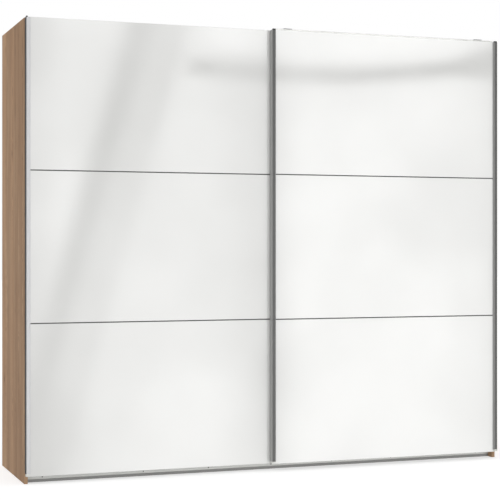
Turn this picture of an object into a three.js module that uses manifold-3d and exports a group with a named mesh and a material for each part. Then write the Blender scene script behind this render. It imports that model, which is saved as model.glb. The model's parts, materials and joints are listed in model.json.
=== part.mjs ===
// Sliding door wardrobe: two overlapping glass-faced doors hang from wheels on a roof rail.
// Millimetres. Origin on the floor under the centre of the whole object; +X to the right
// seen from the front, -Y is the front, +Z is up.
import * as THREE from 'three';
import { mergeVertices } from 'three/addons/utils/BufferGeometryUtils.js';
import Module from 'manifold-3d';

const wasm = await Module();
wasm.setup();

// ---- driving dimensions -------------------------------------------------------------
const WIDTH = 2470;                 // over the outer faces of the side panels
const SIDE_HEIGHT = 2160;
const OVERALL_DEPTH = 660;          // front of the front door's handles to the panels' rear edges
const DOORS_DEPTH = 66;             // part of the overall depth that lies in front of the sides
const BOARD = 16;                   // coated chipboard
const GAP = 0.3;                    // air kept between pieces that touch

const REAR = OVERALL_DEPTH / 2;
const SIDE_FRONT = -REAR + DOORS_DEPTH;
const SIDE_X = WIDTH / 2 - BOARD;   // inner face of a side panel
const INNER_X = SIDE_X - GAP;       // reach of the pieces between the side panels

const CARCASS_REAR = 325;           // rear edge of the boards that the back panels cover
const BACK_THICK = 3;
const ROOF_TOP = 2100;              // upper face of the top panels
const PLINTH_HEIGHT = 60;
const PLINTH_SETBACK = 42;          // guide rail's face behind the side panels' front edges
const GUIDE_WEB = 2;
const PLINTH_FRONT = SIDE_FRONT + PLINTH_SETBACK + GUIDE_WEB + GAP;
const FLOOR_BOTTOM = PLINTH_HEIGHT + GAP;
const FLOOR_TOP = FLOOR_BOTTOM + BOARD;
const ROOF_BOTTOM = ROOF_TOP - BOARD;
const ROOF_FRONT = SIDE_FRONT + 2;
const REAR_PLINTH_Y = 290;
const BACK_BOTTOM = PLINTH_HEIGHT / 2;
const BACK_TOP = ROOF_TOP - 2;
const BACK_JOINER = { flange: 11, thin: 1.4, web: 2, endGap: 1 };

const SHELF_TOP = 1790;
const SHELF_FRONT = PLINTH_FRONT + 8;
const SHELF_REAR = CARCASS_REAR - 2;
const CLOTHES_RAIL_Z = 1722;
const CLOTHES_RAIL_Y = 45;
const CLOTHES_RAIL = { wide: 15, high: 30, wall: 1.5 };
const SOCKET = { plate: 3, rim: 11, wall: 3, fit: 0.4 };

const DOOR_WIDTH = 1247;
const DOOR_BOTTOM = 38;
const DOOR_TOP = SIDE_HEIGHT;
const GLASS = 4;
const PANES = 3;
const PANE_GAP = 5;
const REAR_DOOR_BACK = SIDE_FRONT - 7.7;
const FRONT_DOOR_BACK = REAR_DOOR_BACK - 27;
const DOOR_END_MARGIN = 1;          // closed door's edge inside the side's outer face
const LEFT_DOOR_X = -WIDTH / 2 + DOOR_END_MARGIN;
const RIGHT_DOOR_X = WIDTH / 2 - 21 - DOOR_WIDTH;

const HANDLE = { wide: 22, web: 2, flange: 1.5, wall: 1.6, step: 4.5, round: 4, chamfer: 1 };
const HANDLE_Z = [DOOR_BOTTOM + 13, DOOR_TOP - 2];
const HOLLOW_ABOVE = 6;             // a grip that stands out further than this is hollow
const HOLLOW = { side: 0.6, corner: [2.4, 2] };
const DIVIDER_GROOVE = 1;
const DIVIDER_RECESS = 0.4;         // the strips' faces behind the panes' faces
const REAR_HANDLE_PROUD = 3;
const FRONT_HANDLE_PROUD = DOORS_DEPTH - (SIDE_FRONT - FRONT_DOOR_BACK) - BOARD - GLASS - GAP;

const RUN_BASE = 2;                 // thickness of the running rail's base
const RUN_LIP = 4;
const RUN_BEHIND = 16;              // base behind the rear track's middle
const RUN_RIB = { wide: 3, high: 7.7 };
const FRONT_TRACK_Y = SIDE_FRONT + 14;
const REAR_TRACK_Y = SIDE_FRONT + 42;
const RIB_TOP = ROOF_TOP + GAP + RUN_RIB.high;
const WHEEL = { run: 14, flange: 17, wide: 12, bore: 3.4 };
const WHEEL_GROOVE = RUN_RIB.wide / 2 + 1;
const RUN_CLEARANCE = 0.1;          // wheel over its rib
const WHEEL_Z = RIB_TOP + WHEEL.run + RUN_CLEARANCE;
const AXLE = { radius: 3, boss: 5, head: 1.6 };
const SHEET = 2;
const THICK_SHEET = 2.5;
const HANGER = { wide: 40, inset: 95, top: 2173 };    // inset: centre from its door's edge
const REAR_HANGER_Z = [ROOF_TOP + 4, DOOR_TOP - 6];
const FRONT_HANGER_FOOT = DOOR_TOP - 98;
const DROP_FOOT = ROOF_TOP + 8;     // lower end of the sheet that carries a front door's axle
const DROP_TO_WHEEL = 9;
const SCREW_HOLE = 2.2;
const SCREW_X = 12;                 // a hanger's screws to either side of its middle
const FRONT_SCREW_RISES = [10, 42, 74];
const REAR_SCREW_INSET = 6;
const STOP = { thick: 14, overhang: 8, rise: 22, gap: 1 };

const GUIDE = { wide: 30, inset: 70, rib: 2, reach: 20, flange: 2, overhang: 1 };
const GUIDE_FACE = SIDE_FRONT + PLINTH_SETBACK;
const LOW_FLANGE_Z = 42;
const HIGH_FLANGE_Z = 64;
const RIB_RISE = 12;
const WEB_TOP = HIGH_FLANGE_Z + 12;
const FOOT = { high: 13, step: 1.4 };
const HIGH_ARM_Z = HIGH_FLANGE_Z + 16;
const LOW_ARM_Z = LOW_FLANGE_Z + 18;
const UNDER_DOOR_GAP = 2.5;         // front door's guide arm below its board
const REAR_GUIDE = { foot: 46, top: 112, screws: [54, 102] };
const FRONT_GUIDE = { top: 98, screws: [62, 88] };
const RISER_GAP = 3;                // front door's guide before its slider
const SLIDER = { wide: 8, high: 12.4, long: 26, slot: 3.2, roof: 2.4 };
const TRIM = { wall: 1.6, rise: 5.2 };

// ---- materials ----------------------------------------------------------------------
const paint = (color, roughness, metalness) =>
  new THREE.MeshStandardMaterial({ color, roughness, metalness });
const OAK = paint(0x98806a, 0.6, 0);
const PALE_BOARD = paint(0xe9e8e4, 0.5, 0);
const HARDBOARD = paint(0xd8d2c6, 0.8, 0);
const WHITE_GLASS = paint(0xf1f4f5, 0.06, 0);
const GREY_ALUMINIUM = paint(0x8b8b89, 0.4, 0.9);
const SILVER_ALUMINIUM = paint(0xb4b5b0, 0.35, 0.9);
const ZINC = paint(0x8d8f92, 0.4, 0.9);
const CHROME = paint(0xd0d2d4, 0.12, 1);
const NYLON = paint(0xe4e4df, 0.5, 0);
const DARK_PLASTIC = paint(0x2b2b2c, 0.55, 0);

// ---- makers -------------------------------------------------------------------------
const wardrobe = new THREE.Group();

function add(name, geometry, material) {
  const mesh = new THREE.Mesh(geometry, material);
  mesh.name = name;
  wardrobe.add(mesh);
}

function boxGeometry([x0, x1], [y0, y1], [z0, z1]) {
  const geometry = new THREE.BoxGeometry(x1 - x0, y1 - y0, z1 - z0);
  return geometry.translate((x0 + x1) / 2, (y0 + y1) / 2, (z0 + z1) / 2);
}

const outline = (points) => new THREE.Shape(points.map(([a, b]) => new THREE.Vector2(a, b)));

function extrude(shape, length, curveSegments = 6) {
  return new THREE.ExtrudeGeometry(shape, { depth: length, bevelEnabled: false, curveSegments });
}

// A shape drawn in (Y, Z) and drawn out along X.
function alongX(shape, x0, x1, curveSegments) {
  const axes = new THREE.Matrix4().makeBasis(
    new THREE.Vector3(0, 1, 0), new THREE.Vector3(0, 0, 1), new THREE.Vector3(1, 0, 0));
  return extrude(shape, x1 - x0, curveSegments).applyMatrix4(axes).translate(x0, 0, 0);
}

// A cylinder about +Y.
function rodY(radius, x, z, y0, y1, segments = 20) {
  const geometry = new THREE.CylinderGeometry(radius, radius, y1 - y0, segments);
  return geometry.translate(x, (y0 + y1) / 2, z);
}

function solid(geometry) {
  const bare = geometry.clone();
  bare.deleteAttribute('normal');
  bare.deleteAttribute('uv');
  const merged = mergeVertices(bare, 1e-4);
  return new wasm.Manifold(new wasm.Mesh({
    numProp: 3,
    vertProperties: merged.attributes.position.array,
    triVerts: new Uint32Array(merged.index.array),
  }));
}

function geometryOf(manifold) {
  const mesh = manifold.getMesh();
  const geometry = new THREE.BufferGeometry();
  geometry.setAttribute('position', new THREE.BufferAttribute(mesh.vertProperties, mesh.numProp));
  geometry.setIndex(new THREE.BufferAttribute(mesh.triVerts, 1));
  geometry.computeVertexNormals();
  return geometry;
}

function combine(parts, holes = []) {
  let whole = solid(parts[0]);
  for (const part of parts.slice(1)) whole = whole.add(solid(part));
  for (const hole of holes) whole = whole.subtract(solid(hole));
  return geometryOf(whole);
}

const SIDES = [['left', -1], ['right', 1]];
const span = (sign, a, b) => (sign < 0 ? [-b, -a] : [a, b]);

// ---- carcass ------------------------------------------------------------------------
for (const [side, sign] of SIDES) {
  const outer = span(sign, SIDE_X, WIDTH / 2);
  add(`side_panel_${side}`, boxGeometry(outer, [SIDE_FRONT, REAR], [0, SIDE_HEIGHT]), OAK);

  const bay = span(sign, BOARD / 2 + GAP, INNER_X);
  add(`top_panel_${side}`,
    boxGeometry(bay, [ROOF_FRONT, CARCASS_REAR], [ROOF_BOTTOM, ROOF_TOP]), OAK);
  add(`bottom_panel_${side}`,
    boxGeometry(bay, [PLINTH_FRONT, CARCASS_REAR], [FLOOR_BOTTOM, FLOOR_TOP]), OAK);
  add(`hat_shelf_${side}`,
    boxGeometry(bay, [SHELF_FRONT, SHELF_REAR], [SHELF_TOP - BOARD, SHELF_TOP]), OAK);
}

// The partition is notched for the two plinths that run past it.
add('centre_partition', alongX(outline([
  [PLINTH_FRONT, FLOOR_BOTTOM], [PLINTH_FRONT + BOARD + GAP, FLOOR_BOTTOM],
  [PLINTH_FRONT + BOARD + GAP, 0], [REAR_PLINTH_Y - GAP, 0],
  [REAR_PLINTH_Y - GAP, FLOOR_BOTTOM], [REAR_PLINTH_Y + BOARD + GAP, FLOOR_BOTTOM],
  [REAR_PLINTH_Y + BOARD + GAP, 0], [CARCASS_REAR, 0],
  [CARCASS_REAR, ROOF_TOP], [ROOF_FRONT, ROOF_TOP],
  [ROOF_FRONT, ROOF_BOTTOM], [PLINTH_FRONT, ROOF_BOTTOM],
]), -BOARD / 2, BOARD / 2), OAK);

for (const [name, front] of [['front_plinth', PLINTH_FRONT], ['rear_plinth', REAR_PLINTH_Y]]) {
  add(name,
    boxGeometry([-INNER_X, INNER_X], [front, front + BOARD], [0, PLINTH_HEIGHT]), OAK);
}

// ---- hardboard back: two sheets to a bay, joined by an H-shaped strip -----------------
const BACK_Y = CARCASS_REAR + GAP;
const SEAM_X = (SIDE_X + BOARD / 2) / 2;
const SEAM_HALF = BACK_JOINER.web / 2;
for (const [side, sign] of SIDES) {
  const sheets = [['inner', GAP, SEAM_X - SEAM_HALF], ['outer', SEAM_X + SEAM_HALF, INNER_X]];
  for (const [place, a, b] of sheets) {
    add(`back_panel_${side}_${place}`,
      boxGeometry(span(sign, a, b), [BACK_Y, BACK_Y + BACK_THICK], [BACK_BOTTOM, BACK_TOP]),
      HARDBOARD);
  }
  const { flange, thin, endGap } = BACK_JOINER;
  const web = SEAM_HALF - GAP;
  const inside = [CARCASS_REAR - thin, CARCASS_REAR];
  const outside = [BACK_Y + BACK_THICK + GAP, REAR];
  const x = sign * SEAM_X;
  const strip = [
    [-flange, inside[0]], [flange, inside[0]], [flange, inside[1]], [web, inside[1]],
    [web, outside[0]], [flange, outside[0]], [flange, outside[1]], [-flange, outside[1]],
    [-flange, outside[0]], [-web, outside[0]], [-web, inside[1]], [-flange, inside[1]],
  ].map(([dx, y]) => [x + dx, y]);
  const joiner = extrude(outline(strip), ROOF_BOTTOM - FLOOR_TOP - 2 * endGap);
  add(`back_joiner_${side}`, joiner.translate(0, 0, FLOOR_TOP + endGap), PALE_BOARD);
}

// ---- oval clothes rails in cup sockets ------------------------------------------------
function oval(wide, high) {
  const r = wide / 2;
  const straight = (high - wide) / 2;
  const shape = new THREE.Shape();
  shape.absarc(0, straight, r, 0, Math.PI, false);
  shape.absarc(0, -straight, r, Math.PI, 2 * Math.PI, false);
  return shape;
}

const atRail = (geometry) => geometry.translate(0, CLOTHES_RAIL_Y, CLOTHES_RAIL_Z);

for (const [side, sign] of SIDES) {
  const { wide, high, wall } = CLOTHES_RAIL;
  const tube = oval(wide, high);
  tube.holes.push(oval(wide - 2 * wall, high - 2 * wall));
  const [x0, x1] = span(sign, BOARD / 2 + GAP, INNER_X);
  const ends = SOCKET.plate + GAP;
  add(`clothes_rail_${side}`, atRail(alongX(tube, x0 + ends, x1 - ends, 8)), CHROME);

  const cupWide = wide + 2 * (SOCKET.fit + SOCKET.wall);
  const cupHigh = high + 2 * (SOCKET.fit + SOCKET.wall);
  const bore = oval(wide + 2 * SOCKET.fit, high + 2 * SOCKET.fit);
  for (const [end, face, inward] of [['left', x0, 1], ['right', x1, -1]]) {
    const [a, b] = [face, face + inward * SOCKET.rim].sort((p, q) => p - q);
    const plateEdge = face + inward * SOCKET.plate;
    const [c, d] = inward > 0 ? [plateEdge, b + 1] : [a - 1, plateEdge];
    const cup = combine([alongX(oval(cupWide, cupHigh), a, b, 8)], [alongX(bore, c, d, 8)]);
    add(`rail_socket_${side}_${end}`, atRail(cup), ZINC);
  }
}

// ---- running rail on the roof: one base, two ribs, turned-up edges ---------------------
const RUN_FRONT = ROOF_FRONT;
const RUN_REAR = REAR_TRACK_Y + RUN_BEHIND;
const RUN_Z = ROOF_TOP + GAP;
function railRib(y) {
  const half = RUN_RIB.wide / 2;
  return [
    [y + half, RUN_Z + RUN_BASE], [y + half, RIB_TOP - half],
    [y + half / 2, RIB_TOP], [y - half / 2, RIB_TOP],
    [y - half, RIB_TOP - half], [y - half, RUN_Z + RUN_BASE],
  ];
}
add('running_rail', alongX(outline([
  [RUN_FRONT, RUN_Z], [RUN_REAR, RUN_Z],
  [RUN_REAR, RUN_Z + RUN_LIP], [RUN_REAR - RUN_BASE, RUN_Z + RUN_LIP],
  [RUN_REAR - RUN_BASE, RUN_Z + RUN_BASE],
  ...railRib(REAR_TRACK_Y),
  ...railRib(FRONT_TRACK_Y),
  [RUN_FRONT + RUN_BASE, RUN_Z + RUN_BASE],
  [RUN_FRONT + RUN_BASE, RUN_Z + RUN_LIP], [RUN_FRONT, RUN_Z + RUN_LIP],
]), -INNER_X, INNER_X), SILVER_ALUMINIUM);

// ---- guide rail on the plinth: two flanges with upturned ribs --------------------------
function guideFlange(z) {
  const front = GUIDE_FACE - GUIDE.reach;
  return [
    [GUIDE_FACE, z + GUIDE.flange], [front + GUIDE.rib, z + GUIDE.flange],
    [front + GUIDE.rib, z + RIB_RISE], [front, z + RIB_RISE], [front, z], [GUIDE_FACE, z],
  ];
}
add('guide_rail', alongX(outline([
  [GUIDE_FACE + GUIDE_WEB, 0], [GUIDE_FACE + GUIDE_WEB, WEB_TOP], [GUIDE_FACE, WEB_TOP],
  ...guideFlange(HIGH_FLANGE_Z),
  ...guideFlange(LOW_FLANGE_Z),
  [GUIDE_FACE - FOOT.step, LOW_FLANGE_Z - FOOT.step],
  [GUIDE_FACE - FOOT.step, FOOT.high + FOOT.step], [GUIDE_FACE, FOOT.high], [GUIDE_FACE, 0],
]), -INNER_X, INNER_X), SILVER_ALUMINIUM);

// ---- track stops: a stepped block at each end of the running rail ----------------------
for (const [side, sign] of SIDES) {
  const face = WIDTH / 2 - DOOR_END_MARGIN - HANGER.inset + HANGER.wide / 2 + STOP.gap;
  const block = boxGeometry(span(sign, face, face + STOP.thick),
    [FRONT_TRACK_Y - STOP.overhang, REAR_TRACK_Y + STOP.overhang],
    [RIB_TOP + GAP, RIB_TOP + STOP.rise]);
  add(`track_stop_${side}`, block, DARK_PLASTIC);
}

// ---- doors --------------------------------------------------------------------------
// A handle profile grips the door's edge: a channel round board and glass, and in front of
// it a hollow grip with a rounded outer corner. u runs inward from the door's edge and v
// runs forward from the board's back face.
function handleShape(proud, edgeX, inward, back) {
  const at = (u, v) => [edgeX + inward * u, back - v];
  const point = (u, v) => new THREE.Vector2(...at(u, v));
  const faceV = BOARD + GAP + GLASS + GAP;
  const front = faceV - GAP + proud;
  const { wide, web, flange, wall, step, chamfer } = HANDLE;
  const round = Math.min(HANDLE.round, proud);
  const shape = new THREE.Shape();
  shape.moveTo(...at(0, -GAP - flange));
  for (const [u, v] of [
    [wide, -GAP - flange], [wide, -GAP], [web, -GAP], [web, faceV], [wide, faceV],
    [wide, faceV + wall], [wide - step, front - chamfer], [wide - step - chamfer, front],
    [round, front],
  ]) shape.lineTo(...at(u, v));
  shape.quadraticCurveTo(...at(0, front), ...at(0, front - round));
  if (proud > HOLLOW_ABOVE) {
    const hollow = new THREE.Path();
    const [cornerU, cornerV] = HOLLOW.corner;
    const near = wall + HOLLOW.side;
    const far = wide - step - wall;
    const inner = [
      [near, front - wall - cornerV], [wall + cornerU, front - wall],
      [far - chamfer, front - wall], [far, faceV + wall], [near, faceV + wall],
    ];
    hollow.setFromPoints(inner.map(([u, v]) => point(u, v)));
    shape.holes.push(hollow);
  }
  return shape;
}

// The drill for a screw's hole through a sheet that starts at y.
function screwHole(x, z, y) {
  return rodY(SCREW_HOLE, x, z, y - 1, y + THICK_SHEET + 1, 12);
}

// A bent sheet, drawn in (Y, Z), with the wheel's stub axle and its retaining head.
function hanger(shapePoints, x, plateBack, trackY, screwZ, sheetFront) {
  const half = HANGER.wide / 2;
  const { radius, boss, head } = AXLE;
  const tip = trackY + WHEEL.wide / 2 + GAP;
  const parts = [
    alongX(outline(shapePoints), x - half, x + half),
    rodY(radius, x, WHEEL_Z, plateBack - SHEET / 2, tip + head / 2),
    rodY(boss, x, WHEEL_Z, tip, tip + head),
    rodY(boss, x, WHEEL_Z, plateBack - SHEET / 2, trackY - WHEEL.wide / 2 - GAP),
  ];
  const holes = [];
  for (const dx of [-SCREW_X, SCREW_X]) {
    for (const z of screwZ) holes.push(screwHole(x + dx, z, sheetFront));
  }
  return combine(parts, holes);
}

function rearHanger(x) {
  const front = REAR_DOOR_BACK + GAP;
  const back = front + THICK_SHEET;
  const [low, high] = REAR_HANGER_Z;
  const screws = [low + REAR_SCREW_INSET, high - REAR_SCREW_INSET];
  const plate = [[front, low], [back, low], [back, high], [front, high]];
  return hanger(plate, x, back, FRONT_TRACK_Y, screws, front);
}

// The front door's sheet climbs behind its board, crosses over the rear door and its wheels
// and comes down between the two tracks.
function frontHanger(x) {
  const front = FRONT_DOOR_BACK + GAP;
  const drop = REAR_TRACK_Y - WHEEL.wide / 2 - DROP_TO_WHEEL;
  const under = HANGER.top - THICK_SHEET;
  const foot = FRONT_HANGER_FOOT;
  const sheet = [
    [front, foot], [front + SHEET, foot], [front + SHEET, under],
    [drop - THICK_SHEET, under], [drop - THICK_SHEET, DROP_FOOT], [drop, DROP_FOOT],
    [drop, HANGER.top], [front, HANGER.top],
  ];
  const screws = FRONT_SCREW_RISES.map((rise) => foot + rise);
  return hanger(sheet, x, drop, REAR_TRACK_Y, screws, front);
}

// A grooved nylon wheel about +Y; the groove straddles the rib of its track.
function wheel(x, trackY) {
  const half = WHEEL.wide / 2;
  const { bore, run, flange } = WHEEL;
  const groove = WHEEL_GROOVE;
  const profile = [
    [bore, -half], [flange - 1, -half], [flange, -half + 1],
    [flange, -groove - 1], [run, -groove], [run, groove],
    [flange, groove + 1], [flange, half - 1], [flange - 1, half],
    [bore, half], [bore, -half],
  ].map(([r, y]) => new THREE.Vector2(r, y));
  return new THREE.LatheGeometry(profile, 28).translate(x, trackY, WHEEL_Z);
}

// A bottom guide arm is a bent strip; it ends over the rib that its slider straddles.
const RIB_Y = GUIDE_FACE - GUIDE.reach + GUIDE.rib / 2;
const GUIDE_END = RIB_Y + SLIDER.wide / 2 + GUIDE.overhang;
function rearGuide(x) {
  const front = REAR_DOOR_BACK + GAP;
  const { foot, top, screws } = REAR_GUIDE;
  const arm = HIGH_ARM_Z;
  const points = [
    [front, foot], [front + SHEET, foot], [front + SHEET, arm], [GUIDE_END, arm],
    [GUIDE_END, arm + SHEET], [front + SHEET, arm + SHEET], [front + SHEET, top], [front, top],
  ];
  return guideSheet(points, x, screws, front);
}

function frontGuide(x) {
  const front = FRONT_DOOR_BACK + GAP;
  const { top, screws } = FRONT_GUIDE;
  const low = DOOR_BOTTOM - UNDER_DOOR_GAP - SHEET;
  const arm = LOW_ARM_Z;
  const riser = RIB_Y - SLIDER.wide / 2 - RISER_GAP - SHEET;
  const points = [
    [front, low], [riser + SHEET, low], [riser + SHEET, arm], [GUIDE_END, arm],
    [GUIDE_END, arm + SHEET], [riser, arm + SHEET], [riser, low + SHEET],
    [front + SHEET, low + SHEET], [front + SHEET, top], [front, top],
  ];
  return guideSheet(points, x, screws, front);
}

function guideSheet(points, x, screwZ, front) {
  const half = GUIDE.wide / 2;
  const holes = screwZ.map((z) => screwHole(x, z, front));
  return combine([alongX(outline(points), x - half, x + half)], holes);
}

function slider(x, armZ) {
  const top = armZ - GAP;
  const base = top - SLIDER.high;
  const [w, s] = [SLIDER.wide / 2, SLIDER.slot / 2];
  const points = [
    [-w, base], [-s, base], [-s, top - SLIDER.roof], [s, top - SLIDER.roof],
    [s, base], [w, base], [w, top], [-w, top],
  ].map(([y, z]) => [RIB_Y + y, z]);
  return alongX(outline(points), x - SLIDER.long / 2, x + SLIDER.long / 2);
}

const PANE_NAMES = ['lower', 'middle', 'upper'];
const PANE_PITCH = (DOOR_TOP - DOOR_BOTTOM + PANE_GAP) / PANES;

function door(name, x0, back, proud, isFront) {
  const x1 = x0 + DOOR_WIDTH;
  const edge = HANDLE.web + GAP;
  const inside = [x0 + edge, x1 - edge];
  const glassY = [back - BOARD - GAP - GLASS, back - BOARD - GAP];
  add(`${name}_board`, boxGeometry(inside, [back - BOARD, back], [DOOR_BOTTOM, DOOR_TOP]), PALE_BOARD);
  PANE_NAMES.forEach((pane, i) => {
    const z = DOOR_BOTTOM + i * PANE_PITCH;
    const high = PANE_PITCH - PANE_GAP;
    add(`${name}_glass_${pane}`, boxGeometry(inside, glassY, [z, z + high]), WHITE_GLASS);
  });
  ['lower', 'upper'].forEach((place, i) => {
    const z = DOOR_BOTTOM + (i + 1) * PANE_PITCH - PANE_GAP / 2;
    const half = PANE_GAP / 2 - GAP;
    const [y0, y1] = [glassY[0] + DIVIDER_RECESS, glassY[1]];
    const groove = y0 + DIVIDER_GROOVE;
    const strip = [
      [y1, z - half], [y1, z + half], [y0, z + half], [groove, z + half / 3],
      [groove, z - half / 3], [y0, z - half],
    ];
    add(`${name}_divider_${place}`, alongX(outline(strip), ...inside), GREY_ALUMINIUM);
  });
  for (const [side, edgeX, inward] of [['left', x0, 1], ['right', x1, -1]]) {
    const [z0, z1] = HANDLE_Z;
    const profile = extrude(handleShape(proud, edgeX, inward, back), z1 - z0, 8);
    add(`${name}_handle_${side}`, profile.translate(0, 0, z0), GREY_ALUMINIUM);

    const hangX = edgeX + inward * HANGER.inset;
    add(`${name}_hanger_${side}`, isFront ? frontHanger(hangX) : rearHanger(hangX), ZINC);
    add(`${name}_wheel_${side}`, wheel(hangX, isFront ? REAR_TRACK_Y : FRONT_TRACK_Y), NYLON);

    const guideX = edgeX + inward * GUIDE.inset;
    const armZ = isFront ? LOW_ARM_Z : HIGH_ARM_Z;
    add(`${name}_guide_${side}`, isFront ? frontGuide(guideX) : rearGuide(guideX), ZINC);
    add(`${name}_slider_${side}`, slider(guideX, armZ), NYLON);
  }
}

door('left_door', LEFT_DOOR_X, REAR_DOOR_BACK, REAR_HANDLE_PROUD, false);
door('right_door', RIGHT_DOOR_X, FRONT_DOOR_BACK, FRONT_HANDLE_PROUD, true);

// A small aluminium angle caps the front door's upper edge.
const trimFront = FRONT_DOOR_BACK - BOARD - GAP - GLASS;
add('right_door_top_trim', alongX(outline([
  [trimFront, DOOR_TOP + GAP], [FRONT_DOOR_BACK, DOOR_TOP + GAP],
  [FRONT_DOOR_BACK, DOOR_TOP + GAP + TRIM.wall],
  [trimFront + TRIM.wall, DOOR_TOP + GAP + TRIM.wall],
  [trimFront + TRIM.wall, DOOR_TOP + GAP + TRIM.rise], [trimFront, DOOR_TOP + GAP + TRIM.rise],
]), RIGHT_DOOR_X + HANDLE.wide, RIGHT_DOOR_X + DOOR_WIDTH - HANDLE.wide), SILVER_ALUMINIUM);

export default wardrobe;
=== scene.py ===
"""Looks for the sliding door wardrobe. Metres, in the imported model's frame: -Y front, +Z up."""
import json
import math

import bmesh
import bpy
from mathutils import Matrix, Vector
from mathutils.geometry import tessellate_polygon

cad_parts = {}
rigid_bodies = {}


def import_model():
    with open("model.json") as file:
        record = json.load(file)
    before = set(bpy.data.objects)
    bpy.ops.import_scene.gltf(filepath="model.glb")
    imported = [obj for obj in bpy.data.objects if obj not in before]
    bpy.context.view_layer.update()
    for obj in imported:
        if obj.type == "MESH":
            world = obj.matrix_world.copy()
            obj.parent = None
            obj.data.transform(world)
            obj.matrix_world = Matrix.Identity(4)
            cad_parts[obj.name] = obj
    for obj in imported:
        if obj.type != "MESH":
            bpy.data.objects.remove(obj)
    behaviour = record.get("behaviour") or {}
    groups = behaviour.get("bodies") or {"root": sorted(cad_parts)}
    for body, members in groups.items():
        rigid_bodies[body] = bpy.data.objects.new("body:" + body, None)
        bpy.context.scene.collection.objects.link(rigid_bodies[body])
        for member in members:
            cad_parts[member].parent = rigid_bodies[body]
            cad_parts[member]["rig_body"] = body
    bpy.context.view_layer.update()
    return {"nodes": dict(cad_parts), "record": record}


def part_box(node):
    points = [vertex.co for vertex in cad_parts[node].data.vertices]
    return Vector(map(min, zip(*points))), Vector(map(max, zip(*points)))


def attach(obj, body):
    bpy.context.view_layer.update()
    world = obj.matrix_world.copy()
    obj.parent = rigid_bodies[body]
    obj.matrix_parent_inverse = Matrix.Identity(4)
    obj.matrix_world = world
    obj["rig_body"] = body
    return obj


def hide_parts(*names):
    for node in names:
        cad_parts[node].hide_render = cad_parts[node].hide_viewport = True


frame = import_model()
MM = 0.001
SCENE = bpy.context.scene


# ---- camera ----
CAMERA_YAW = math.radians(19.87)  # turned from the doors' normal towards +X
CAMERA_AT = (-2.4406, -6.6713, 1.0935)
CAMERA_LENS = 100.17  # on a 36 mm sensor
CAMERA_SHIFT_Y = -0.0041


def make_camera():
    data = bpy.data.cameras.new("camera")
    data.sensor_width = 36.0
    data.lens = CAMERA_LENS
    data.shift_y = CAMERA_SHIFT_Y
    data.clip_end = 100.0
    camera = bpy.data.objects.new("camera", data)
    camera.location = CAMERA_AT
    camera.rotation_euler = (math.pi / 2, 0.0, -CAMERA_YAW)
    SCENE.collection.objects.link(camera)
    SCENE.camera = camera


# ---- node helpers ----
class Nodes:
    """A node tree with short calls: add a node, set its inputs, link sockets."""

    def __init__(self, tree):
        self.tree = tree
        tree.nodes.clear()

    def add(self, kind, **inputs):
        return self.set(self.tree.nodes.new(kind), **inputs)

    def set(self, node, **inputs):
        """Lower-case keys are properties, capital ones are sockets, and In_2 is socket number 2."""
        for key, value in inputs.items():
            if key[0].islower():
                setattr(node, key, value)
            elif key.startswith("In_"):
                self.feed(node.inputs[int(key[3:])], value)
            else:
                self.feed(node.inputs[key.replace("_", " ")], value)
        return node

    def feed(self, socket, value):
        if isinstance(value, bpy.types.NodeSocket):
            self.tree.links.new(value, socket)
        elif isinstance(value, bpy.types.Node):
            self.tree.links.new(value.outputs[0], socket)
        else:
            socket.default_value = value

    def math(self, operation, a, b=0.0, c=0.0):
        return self.add("ShaderNodeMath", operation=operation, In_0=a, In_1=b, In_2=c)

    def times(self, first, *others):
        for other in others:
            first = self.math("MULTIPLY", first, other)
        return first

    def plus(self, first, *others):
        for other in others:
            first = self.math("ADD", first, other)
        return first

    def minus(self, a, b):
        return self.math("SUBTRACT", a, b)

    def split(self, vector):
        return self.add("ShaderNodeSeparateXYZ", In_0=vector).outputs

    def join(self, x, y, z):
        return self.add("ShaderNodeCombineXYZ", In_0=x, In_1=y, In_2=z)

    def place(self):
        return self.add("ShaderNodeTexCoord").outputs["Object"]

    def normal(self):
        return self.split(self.add("ShaderNodeTexCoord").outputs["Normal"])

    def noise(self, vector, scale, detail, rough=0.5, distortion=0.0):
        return self.add("ShaderNodeTexNoise", Vector=vector, Scale=scale, Detail=detail,
                        Roughness=rough, Distortion=distortion).outputs[0]

    def line_noise(self, value, scale, detail, rough=0.5):
        return self.add("ShaderNodeTexNoise", noise_dimensions="1D", W=value, Scale=scale,
                        Detail=detail, Roughness=rough).outputs[0]

    def ramp(self, value, *stops):
        """A colour ramp; each stop is (position, (r, g, b)) or (position, grey)."""
        node = self.add("ShaderNodeValToRGB", In_0=value)
        elements = node.color_ramp.elements
        while len(elements) < len(stops):
            elements.new(0.5)
        for element, (position, colour) in zip(elements, stops):
            element.position = position
            rgb = (colour,) * 3 if isinstance(colour, (int, float)) else colour
            element.color = (*rgb, 1.0)
        return node.outputs["Color"]

    def mix(self, factor, a, b, blend="MIX"):
        node = self.add("ShaderNodeMix", data_type="RGBA", blend_type=blend, In_0=factor)
        for number, colour in ((6, a), (7, b)):
            linked = isinstance(colour, bpy.types.NodeSocket)
            self.feed(node.inputs[number], colour if linked else (*colour, 1.0))
        return node.outputs[2]

    def tint(self, a, b):
        return self.mix(1.0, a, b, "MULTIPLY")

    def span(self, value, low, high, to_low=0.0, to_high=1.0):
        return self.add("ShaderNodeMapRange", interpolation_type="SMOOTHSTEP", In_0=value,
                        In_1=low, In_2=high, In_3=to_low, In_4=to_high)


def new_material(name):
    material = bpy.data.materials.new(name)
    material.use_nodes = True
    nodes = Nodes(material.node_tree)
    shader = nodes.add("ShaderNodeBsdfPrincipled")
    nodes.feed(nodes.add("ShaderNodeOutputMaterial").inputs[0], shader)
    return material, nodes, shader


def bump(nodes, shader, height, strength, distance):
    node = nodes.add("ShaderNodeBump", Strength=strength, Distance=distance, Height=height)
    nodes.feed(shader.inputs["Normal"], node)


# ---- materials ----
PLANK = 0.099


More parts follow.
